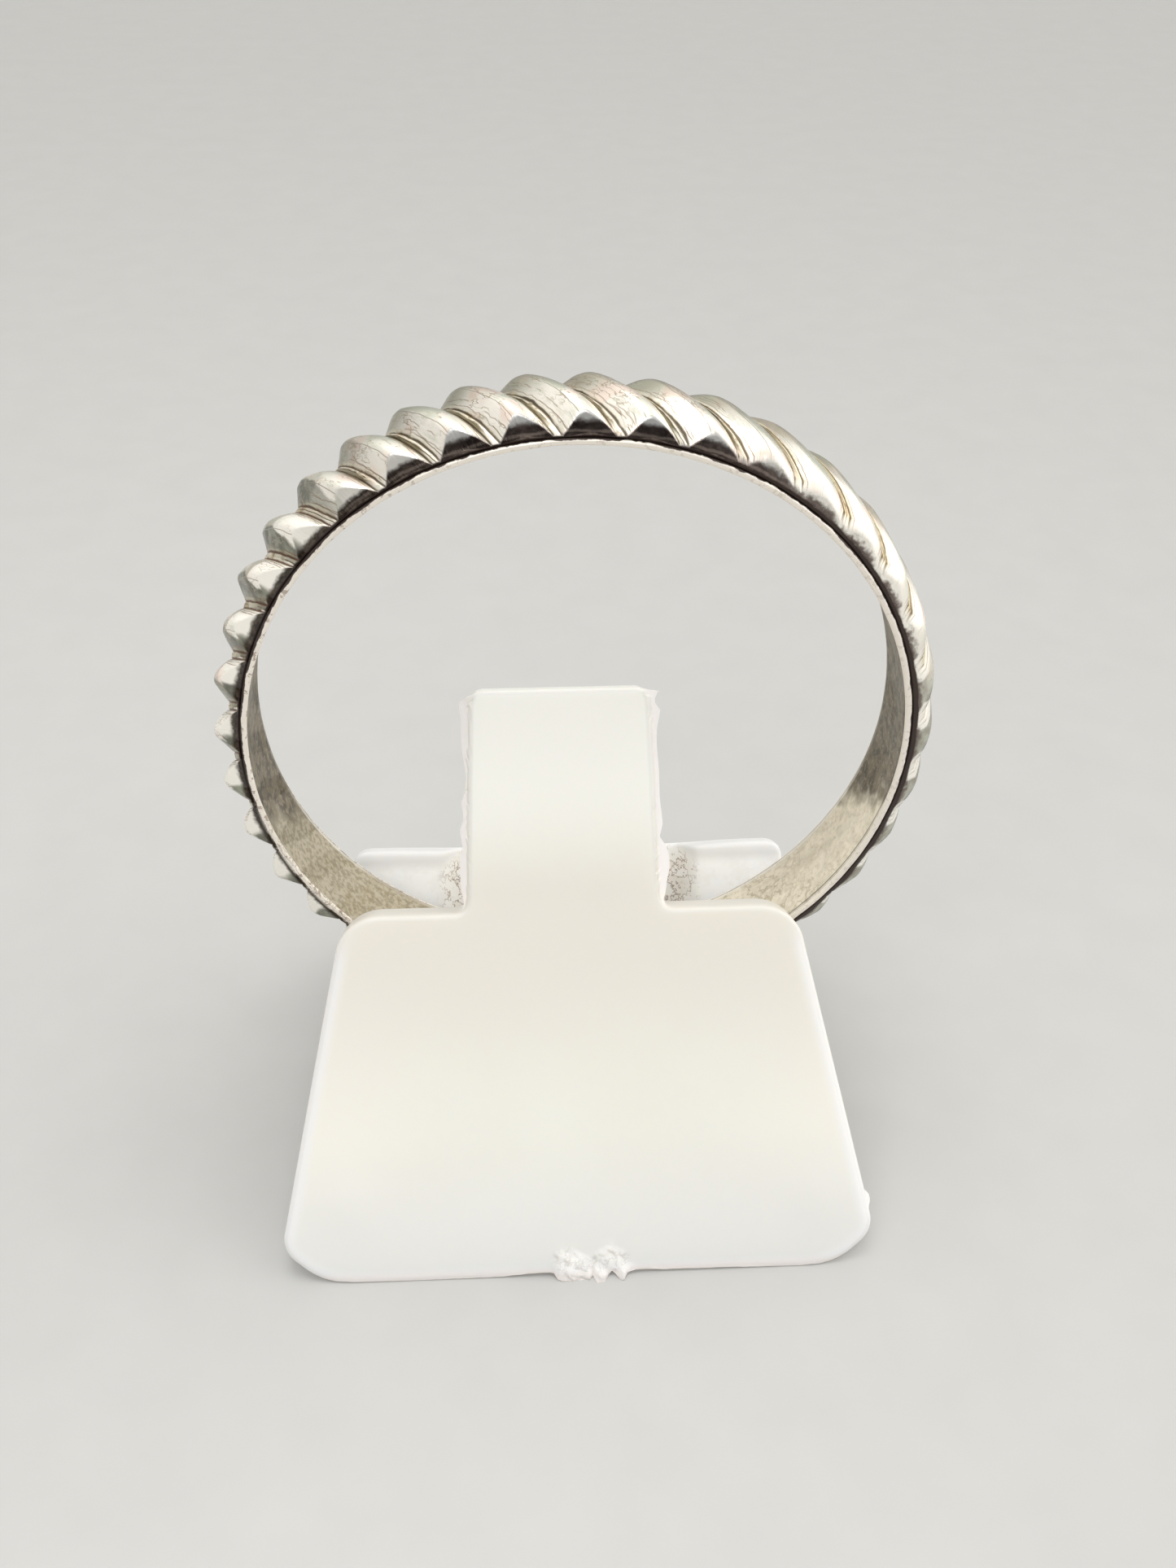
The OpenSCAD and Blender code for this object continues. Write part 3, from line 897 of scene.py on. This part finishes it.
def silver():
    """Worn warm silver, tarnished in the grooves, at the lobes' ends and in the bore, with painted shade on
    the lobes, grooves and bore and a painted reflection and highlight on the ends.
    """
    material, s = new_material("silver")
    mix, ramp, times = s.mix, s.ramp, s.times
    names = ("across", "along", "height", "groove", "ends", "rim", "bore")
    across, along, height, groove, ends, rim, bore = map(s.attribute, names)
    where = s.object_place()
    blots = s.noise(where, 900, 2)
    patches = s.noise(where, 2400, 3)
    fine = s.noise(where, 7000, 3)
    x, _, z = s.split(where)
    right = ramp(x, 0.002, 0.007)
    left = ramp(x, -0.002, -0.007)
    far_left = ramp(x, -0.0045, -0.0075)
    far_right = ramp(x, 0.0035, 0.0065)
    lower_left = times(ramp(z, 0.0135, 0.0095), left)
    lower_right = times(right, ramp(z, 0.0175, 0.0145))
    bent = s.swayed(across, patches, 0.16)
    bent = s.scaled(times(s.less(blots, 0.5), far_left), 0.4, bent)
    share = s.math("FRACT", bent)
    turned = s.math("FRACT", s.math("ADD", bent, 0.5))
    from_groove = s.apart(turned, 0.5)
    streaks = s.grain((across, 12.0), (along, 1.1), 0, 4, 0.7)

    # The lobes: cream on the filed flank, greenish grey and pink over the top, olive down to the next groove,
    # and painted shade at their rear and, at the far left, on their lower flank
    colour = mix(ramp(blots, 0.5, 0.62), (1, 0.96, 0.87), (0.96, 0.82, 0.72))
    over_top = times(ramp(share, 0.62, 0.52), s.scaled(ramp(along, 0.4, 1), 0.65, 0.2))
    over_top = times(over_top, s.scaled(far_left, -0.6, 0.8), ramp(blots, 0.6, 0.45))
    colour = mix(over_top, colour, (0.52, 0.56, 0.43))
    # Painted shade towards the rear, where the dome falls away: olive grey and pink, darker on the right
    behind = mix(ramp(patches, 0.45, 0.58), (0.42, 0.44, 0.3), (0.62, 0.52, 0.42))
    behind = mix(right, (0.34, 0.34, 0.25), behind)
    colour = mix(ramp(along, 1, 2.0, 0, 0.8), colour, behind)
    mottle = ramp(s.grain((across, 5.0), (along, 1.5), 5.0, 4, 0.65), 0.5, 0.66)
    spots = mix(ramp(blots, 0.45, 0.55), (0.56, 0.6, 0.46), (0.72, 0.6, 0.5))
    colour = mix(times(mottle, s.scaled(right, -0.33, 0.45)), colour, spots)
    # At the far left the rear of the lobes gets a stronger painted shade
    rearward = ramp(s.swayed(along, blots, 2.4), 0.75, 0.95)
    rear_shade = mix(ramp(patches, 0.42, 0.6), (0.3, 0.32, 0.24), (0.6, 0.53, 0.46))
    colour = mix(times(far_left, rearward, 0.8), colour, rear_shade)
    # Painted shade on the far left's lower flanks, which face down and away from the light; near the front it
    # starts further down the flank
    past_edge = s.less(share, ramp(along, 1.1, 0.3, 0.54, 0.68))
    shaded = times(far_left, ramp(past_edge, -0.03, 0.03, 0, 0.92))
    shade = mix(ramp(patches, 0.4, 0.65), (0.08, 0.085, 0.06), (0.27, 0.28, 0.21))
    colour = mix(shaded, colour, shade)
    colour = mix(s.thread(across, along, 0.09, 0.01, 1, 0.35, 0.05), colour, (0.42, 0.38, 0.32))
    creases = ((-0.2, 5, 0.56), (0.22, 6, 0.52), (0.27, 9, 0.5), (-0.33, 7, 0.58), (0.34, 8, 0.4))
    for at, seed, cover in creases:
        crease = times(s.thread(across, along, at, 0.011, seed, cover, 0.12), 0.6)
        colour = mix(s.weaker(crease, right, 0.6), colour, (0.27, 0.19, 0.12))
    folds = s.grain((across, 4.0), (along, 1.2), 2.0, 3)
    folds = ramp(s.apart(folds, 0.5), 0.016, 0.005)
    folds = times(folds, s.rest(right), ramp(blots, 0.42, 0.52, 0.15, 0.75))
    colour = mix(folds, colour, (0.42, 0.36, 0.27))
    tongue = ramp(from_groove, 0.29, 0.23)
    between = mix(ramp(patches, 0.35, 0.65), (0.52, 0.53, 0.45), (0.34, 0.32, 0.26))
    tongues = mix(tongue, between, (1, 0.97, 0.9))
    colour = mix(times(lower_right, ramp(along, 1.5, 0.9)), colour, tongues)

    # The grooves: amber and olive patches, cut by broken dark lines
    amber = mix(ramp(fine, 0.38, 0.62), (0.72, 0.58, 0.37), (0.34, 0.27, 0.15))
    amber = mix(ramp(patches, 0.34, 0.52), amber, mix(right, (0.88, 0.81, 0.66), (0.8, 0.7, 0.46)))
    tinted = s.most(ramp(along, 0, 0.8, 0.2, 0.85), times(far_right, 0.9))
    tinted = s.weaker(tinted, lower_right, 0.8)
    colour = mix(times(groove, tinted), colour, amber)
    # One side of each groove gets an olive band, partly olive tarnish and partly painted shade on the flank
    # turned from the light; it is weaker at the far left and right
    band = times(ramp(turned, 0.72, 0.62), ramp(turned, 0.47, 0.52))
    band = times(band, ramp(along, 0.2, 0.5, 0.3, 1))
    band = s.weaker(band, s.most(far_left, far_right), 0.7)
    olive_tarnish_and_shade = mix(ramp(streaks, 0.35, 0.65), (0.09, 0.075, 0.035), (0.24, 0.2, 0.12))
    colour = mix(band, colour, olive_tarnish_and_shade)
    shifted = s.math("ADD", across, 0.5)
    tint = mix(right, (0.08, 0.055, 0.03), (0.14, 0.095, 0.045))
    tint = mix(far_left, tint, (0.14, 0.065, 0.04))
    lines = ((-LINE_AT, 0.032, 2, 0.15), (LINE_AT, 0.034, 3, 0.15), (0, 0.014, 4, 0.46))
    for at, width, seed, cover in lines:
        line = times(s.thread(shifted, along, at, width, seed, cover, 0.05), 0.92)
        colour = mix(s.weaker(line, lower_right, 0.8), colour, tint)
    for at, seed in ((-0.15, 10), (0.14, 11), (0.19, 12)):
        line = s.thread(shifted, along, at, 0.011, seed, 0.36, 0.06)
        line = times(line, ramp(along, 1.2, 0.6, 0, 0.75))
        colour = mix(line, colour, (0.22, 0.13, 0.07))

    # The steep ends are dark up to near the lobes' tops, with tarnish and a painted dark reflection, and a
    # lighter streak along their foot that is a painted highlight. At the far left the lower half of their
    # open part gets painted shade
    dusty = mix(right, mix(left, (0.2, 0.16, 0.14), (0.1, 0.08, 0.06)), (0.2, 0.16, 0.14))
    dark_reflection_and_tarnish = mix(ramp(fine, 0.35, 0.7), mix(left, (0.1, 0.075, 0.07), (0.028, 0.02, 0.015)), dusty)
    above = s.swayed(s.less(height, END_R), patches, 0.12)
    streak = times(ramp(above, 0.08, 0.12), ramp(above, 0.19, 0.14))
    inner = s.rest(s.most(left, right))
    dark_reflection_and_tarnish = mix(times(streak, inner, 0.6), dark_reflection_and_tarnish, (0.7, 0.57, 0.5))
    # The dark reaches this far up the ends, and less far by some millimetres in these zones
    limit = 0.44
    by_groove = times(right, ramp(from_groove, 0.28, 0.1))
    zones = ((lower_left, 0.1), (left, 0.12), (far_left, 0.08), (right, 0.12), (by_groove, 0.14))
    for zone, fall in zones:
        limit = s.scaled(zone, -fall, limit)
    limit = s.swayed(limit, fine, s.scaled(right, 0.25, 0.15))
    reach = ramp(above, limit, s.less(limit, s.scaled(right, 0.06, 0.14)))
    open_colour = mix(s.most(left, right), (0.52, 0.52, 0.51), (1, 0.96, 0.88))
    open_colour = mix(times(far_left, ramp(share, 0.56, 0.66, 0, 0.9)), open_colour, shade)
    open_colour = mix(lower_right, open_colour, tongues)
    colour = mix(ends, colour, open_colour)
    colour = mix(times(ends, reach), colour, dark_reflection_and_tarnish)

    # A dark line runs in the slot behind the rim. The rim is clean but for specks and fine cracks
    near_rim = s.math("MINIMUM", along, s.less(BAND_W, along))
    top = s.scaled(lower_right, 0.05, s.scaled(right, 0.06, RIM_R + 0.1))
    top = s.swayed(top, patches, 0.1)
    low = times(ramp(height, top, s.less(top, 0.05)), ramp(near_rim, 0.5, 0.35), s.rest(bore))
    slot = s.weaker(s.most(s.attribute("slot"), low), lower_left, 0.75)
    colour = mix(slot, colour, (0.05, 0.034, 0.028))
    clean = mix(patches, (0.96, 0.91, 0.83), (0.88, 0.81, 0.72))
    specks = times(ramp(fine, 0.57, 0.65), s.scaled(left, 0.5, 0.25))
    clean = mix(specks, clean, (0.36, 0.28, 0.22))
    cracks = s.grain((across, 3.0), (height, 16.0), 4.0, 3)
    cracks = ramp(s.apart(cracks, 0.5), 0.03, 0.01)
    clean = mix(times(cracks, times(lower_left, 0.7)), clean, (0.3, 0.22, 0.17))
    rim_top = s.swayed(s.scaled(left, -0.03, RIM_R - 0.02), patches, 0.14)
    below_top = ramp(s.less(height, rim_top), 0.01, -0.01)
    colour = mix(times(ramp(rim, 0.45, 0.8), below_top), colour, clean)

    # The bore: fine speckle and faint streaks round it, with painted shade making it and its rear edge darker
    # higher up
    level = s.swayed(s.swayed(z, blots, 0.0022), patches, 0.0012)
    level = s.scaled(ramp(x, -0.003, 0.003), -0.0004, level)
    level = s.math("ADD", level, s.scaled(along, 0.0006, -0.0009))
    bore_wear_and_shade = mix(ramp(patches, 0.35, 0.65), (1, 0.92, 0.76), (0.88, 0.81, 0.66))
    bore_wear_and_shade = mix(times(ramp(fine, 0.45, 0.7), 0.35), bore_wear_and_shade, (0.55, 0.46, 0.32))
    bore_shade = mix(ramp(patches, 0.4, 0.6), (0.07, 0.056, 0.036), (0.19, 0.155, 0.1))
    bore_shade = mix(ramp(fine, 0.5, 0.68, 0, 0.7), bore_shade, (0.34, 0.29, 0.21))
    stained = mix(ramp(fine, 0.4, 0.62), (0.44, 0.39, 0.29), (0.26, 0.22, 0.14))
    bore_wear_and_shade = mix(ramp(x, -0.001, -0.004, 0, 0.85), bore_wear_and_shade, stained)
    veins = s.apart(s.noise(where, 1500, 4, 0.65), 0.5)
    veins = times(ramp(veins, 0.04, 0.01), ramp(level, 0.0088, 0.006, 0.1, 0.45))
    bore_wear_and_shade = mix(veins, bore_wear_and_shade, (0.36, 0.28, 0.15))
    bore_wear_and_shade = mix(ramp(level, 0.0099, 0.0109, 0, 0.94), bore_wear_and_shade, bore_shade)
    rear_edge = mix(ramp(level, 0.01, 0.012), (1, 0.97, 0.9), (0.4, 0.39, 0.35))
    low_left = times(left, ramp(z, 0.0085, 0.0065))
    rear_edge = mix(low_left, rear_edge, mix(ramp(fine, 0.4, 0.6), (0.1, 0.06, 0.03), (0.5, 0.4, 0.26)))
    bore_wear_and_shade = mix(ramp(along, 2.4, 2.5, 0, 0.6), bore_wear_and_shade, rear_edge)
    # A fine line of painted shade just inside the bore, on the right
    lip = ramp(s.apart(along, LIP_AT), 0.04, 0.015, 0, 0.65)
    bore_wear_and_shade = mix(times(lip, right), bore_wear_and_shade, (0.1, 0.08, 0.055))
    colour = mix(ramp(bore, 0.5, 0.9), colour, bore_wear_and_shade)
    s.give("Base Color", colour)

    # Dust and tarnish are less metallic than the bright silver
    lobes = s.rest(s.most(rim, bore))
    open_end = times(ends, s.rest(reach))
    matt = s.most(times(rim, 0.6), times(open_end, 0.5))
    matt_right = times(right, ramp(along, 1.6, 1), 0.45)
    in_groove = times(groove, s.rest(lower_right))
    matt_right = s.weaker(matt_right, in_groove, 0.8)
    matt_left = times(far_left, ramp(past_edge, 0.03, -0.03, 0, 0.8))
    matt = s.most(matt, matt_right, matt_left)
    middle = times(s.rest(right), s.rest(far_left))
    matt_middle = times(middle, lobes, ramp(along, 1.3, 0.6, 0, 0.4))
    matt = s.most(matt, times(matt_middle, s.rest(ends)))
    s.give("Metallic", s.rest(matt))
    rough = ramp(blots, 0.3, 0.7, 0.2, 0.3)
    s.give("Roughness", s.scaled(s.most(groove, bore, rim, slot), 0.2, rough))
    coarse = s.bump(times(streaks, lobes), 0.00002, 0.6)
    s.give("Normal", s.bump(fine, 0.000004, 0.4, Normal=coarse))
    return material


def white_plastic():
    """Satin white moulded plastic, a little translucent and a little uneven, with painted light and shade on
    the plate, finger and wall.
    """
    material, s = new_material("white_plastic")
    mix, ramp, times = s.mix, s.ramp, s.times
    where = s.object_place()
    inside = s.attribute("inside")
    torn = s.attribute("torn")
    wall = s.attribute("wall")
    mottle = s.noise(where, 260, 3)
    cloud = s.noise(where, 2500, 4, 0.65)
    fine = s.noise(where, 6000, 2)
    colour = mix(ramp(mottle, 0.3, 0.7), (0.86, 0.86, 0.8), (0.845, 0.835, 0.77))
    x, _, z = s.split(where)
    # Painted light: the plate is lighter towards its sides, above the foot
    side = ramp(s.math("ABSOLUTE", x), 0.003, 0.007)
    colour = mix(times(side, ramp(z, 0.0015, 0.004)), colour, (0.88, 0.862, 0.8))
    # Painted shade: darker and greyer towards the floor
    colour = mix(ramp(z, 0.004, 0.001, 0, 0.8), colour, (0.79, 0.79, 0.78))
    # Painted shade: a darker, warmer band across the plate's top and the finger's root
    shoulder = times(ramp(z, 0.0035, 0.0082), ramp(z, 0.0125, 0.0095))
    colour = mix(times(shoulder, 0.9), colour, (0.8, 0.77, 0.705))
    # Painted light: the finger's upper part is lighter
    colour = mix(ramp(z, 0.0095, 0.0125), colour, (0.92, 0.92, 0.87))
    # A painted cool highlight on the rounded edges at the sides, below the shoulders
    edge = times(ramp(inside, 0.5, 0.15), ramp(inside, -0.02, 0.05))
    edge = times(edge, ramp(z, 0.0088, 0.008, 0, 0.6))
    colour = mix(edge, colour, (0.87, 0.875, 0.9))
    # A thin darker line runs just inside the outline
    edge_line = times(ramp(inside, 0.16, 0.1), ramp(inside, 0.03, 0.07))
    colour = mix(times(edge_line, 0.35), colour, (0.74, 0.73, 0.72))
    colour = mix(ramp(inside, 0, -0.04), colour, (0.95, 0.91, 0.89))

    # Mottled, veined colour on the wall beside the finger and on the torn gate mark
    veins = s.apart(cloud, 0.5)
    veined_mottle = mix(ramp(cloud, 0.35, 0.65), (0.97, 0.96, 0.94), (0.88, 0.85, 0.8))
    veined_mottle = mix(ramp(cloud, 0.62, 0.72, 0, 0.6), veined_mottle, (0.55, 0.5, 0.4))
    veined_mottle = mix(ramp(veins, 0.03, 0.008, 0, 0.9), veined_mottle, (0.36, 0.28, 0.23))
    from_middle = s.swayed(s.apart(x, (BACK_SHIFT - STAND_SHIFT) * MM), cloud, 0.0012)
    beside = times(ramp(from_middle, 0.0043, 0.0036), ramp(z, 0.0064, 0.006))
    # Painted light: the wall is whiter than the plate. Its ridge top is painted darker grey, as painted shade
    clean = mix(ramp(cloud, 0.45, 0.65), (0.985, 0.99, 0.995), (0.93, 0.93, 0.925))
    clean = mix(ramp(z, 0.0061, 0.0065), clean, (0.76, 0.76, 0.76))
    colour = mix(wall, colour, mix(beside, clean, veined_mottle))
    colour = mix(times(torn, 0.25), colour, veined_mottle)
    # A painted highlight: a warm pinkish glow along the foot
    colour = mix(ramp(z, 0.00035, 0.0001, 0, 0.8), colour, (0.9, 0.83, 0.78))
    s.give("Base Color", colour)
    s.give("Roughness", 0.42)
    s.give("Subsurface Weight", 0.25)
    s.give("Subsurface Radius", (1, 0.85, 0.6))
    s.give("Subsurface Scale", 0.0008)
    s.give("Normal", s.bump(fine, 0.000004, 0.5))
    return material


def floor_finish():
    """Plain pale studio floor."""
    material, s = new_material("floor")
    speck = s.noise(s.object_place(), 400, 3)
    s.give("Base Color", s.mix(speck, (0.5, 0.5, 0.49), (0.54, 0.54, 0.53)))
    s.give("Roughness", 0.45)
    return material


def dress(piece, material, node):
    piece.data.materials.append(material)
    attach(piece, "root")
    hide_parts(node)


dress(make_ring(), silver(), "band")
dress(make_stand(), white_plastic(), "stand")


# Stage: floor, light and camera

FLOOR_SIZE = 1.2


def make_floor():
    half = FLOOR_SIZE / 2 / MM
    corners = [(-half, -half, 0), (half, -half, 0), (half, half, 0), (-half, half, 0)]
    floor = make_mesh("floor", corners, [(0, 1, 2, 3)])
    floor.data.materials.append(floor_finish())


# Both lights are aimed at this place
LIT = Vector((0, 0, 10))


def make_light(name, at, size, power):
    """A soft oblong light at a place. Lengths are in millimetres and the power is in watts."""
    data = bpy.data.lights.new(name, "AREA")
    data.shape = "RECTANGLE"
    data.size = size[0] * MM
    data.size_y = size[1] * MM
    data.energy = power
    light = add_object(name, data)
    light.location = Vector(at) * MM
    light.rotation_euler = (LIT - Vector(at)).to_track_quat("-Z", "Y").to_euler()


# Where the brighter light from the right comes from
GLOW_FROM = (0.97, 0.1, 0.22)


def make_world():
    """Soft light from all round, brighter overhead and on the right, dimmer low at the front."""
    world = bpy.data.worlds.new("studio")
    world.use_nodes = True
    s = Nodes(world.node_tree, "Background")
    towards = s.node("ShaderNodeTexCoord").outputs["Generated"]
    _, y, z = s.split(towards)
    overhead = s.ramp(z, 0, 0.9, 0.52, 1.05, "LINEAR")
    front = s.ramp(s.scaled(z, 1.1, y), -0.75, -0.2, 0.08, 1)
    side = s.node("ShaderNodeVectorMath", operation="DOT_PRODUCT")
    s.put(side.inputs[0], towards)
    s.put(side.inputs[1], GLOW_FROM)
    glow = s.ramp(side.outputs["Value"], 0.6, 0.95, 0, 1.3)
    s.give("Color", (1, 0.985, 0.95, 1))
    s.give("Strength", s.math("ADD", s.times(overhead, front), glow))
    bpy.context.scene.world = world


# The camera's place in millimetres, its angles in degrees and its focal length in the photo's pixels
CAMERA_AT = (-1.714, -36.011, 38.932)
CAMERA_YAW = 3.175
CAMERA_PITCH = 36.72
CAMERA_ROLL = 0.455
FOCAL = 2000
IMAGE_HEIGHT = 1927


def make_camera():
    data = bpy.data.cameras.new("camera")
    data.sensor_fit = "VERTICAL"
    data.sensor_height = 24
    data.lens = data.sensor_height * FOCAL / IMAGE_HEIGHT
    data.clip_start = 0.001
    data.clip_end = 5
    camera = add_object("camera", data)
    turn = Euler((math.radians(90 - CAMERA_PITCH), 0, math.radians(-CAMERA_YAW)), "XYZ").to_matrix()
    roll = Euler((0, 0, math.radians(CAMERA_ROLL)), "XYZ").to_matrix()
    camera.location = Vector(CAMERA_AT) * MM
    camera.rotation_euler = (turn @ roll).to_euler()
    bpy.context.scene.camera = camera


make_floor()
make_world()
make_light("overhead", at=(-10, 5, 110), size=(60, 50), power=0.024)
make_light("front_top", at=(-20, -90, 105), size=(90, 50), power=0.042)
make_camera()
bpy.context.scene.view_settings.view_transform = "Standard"
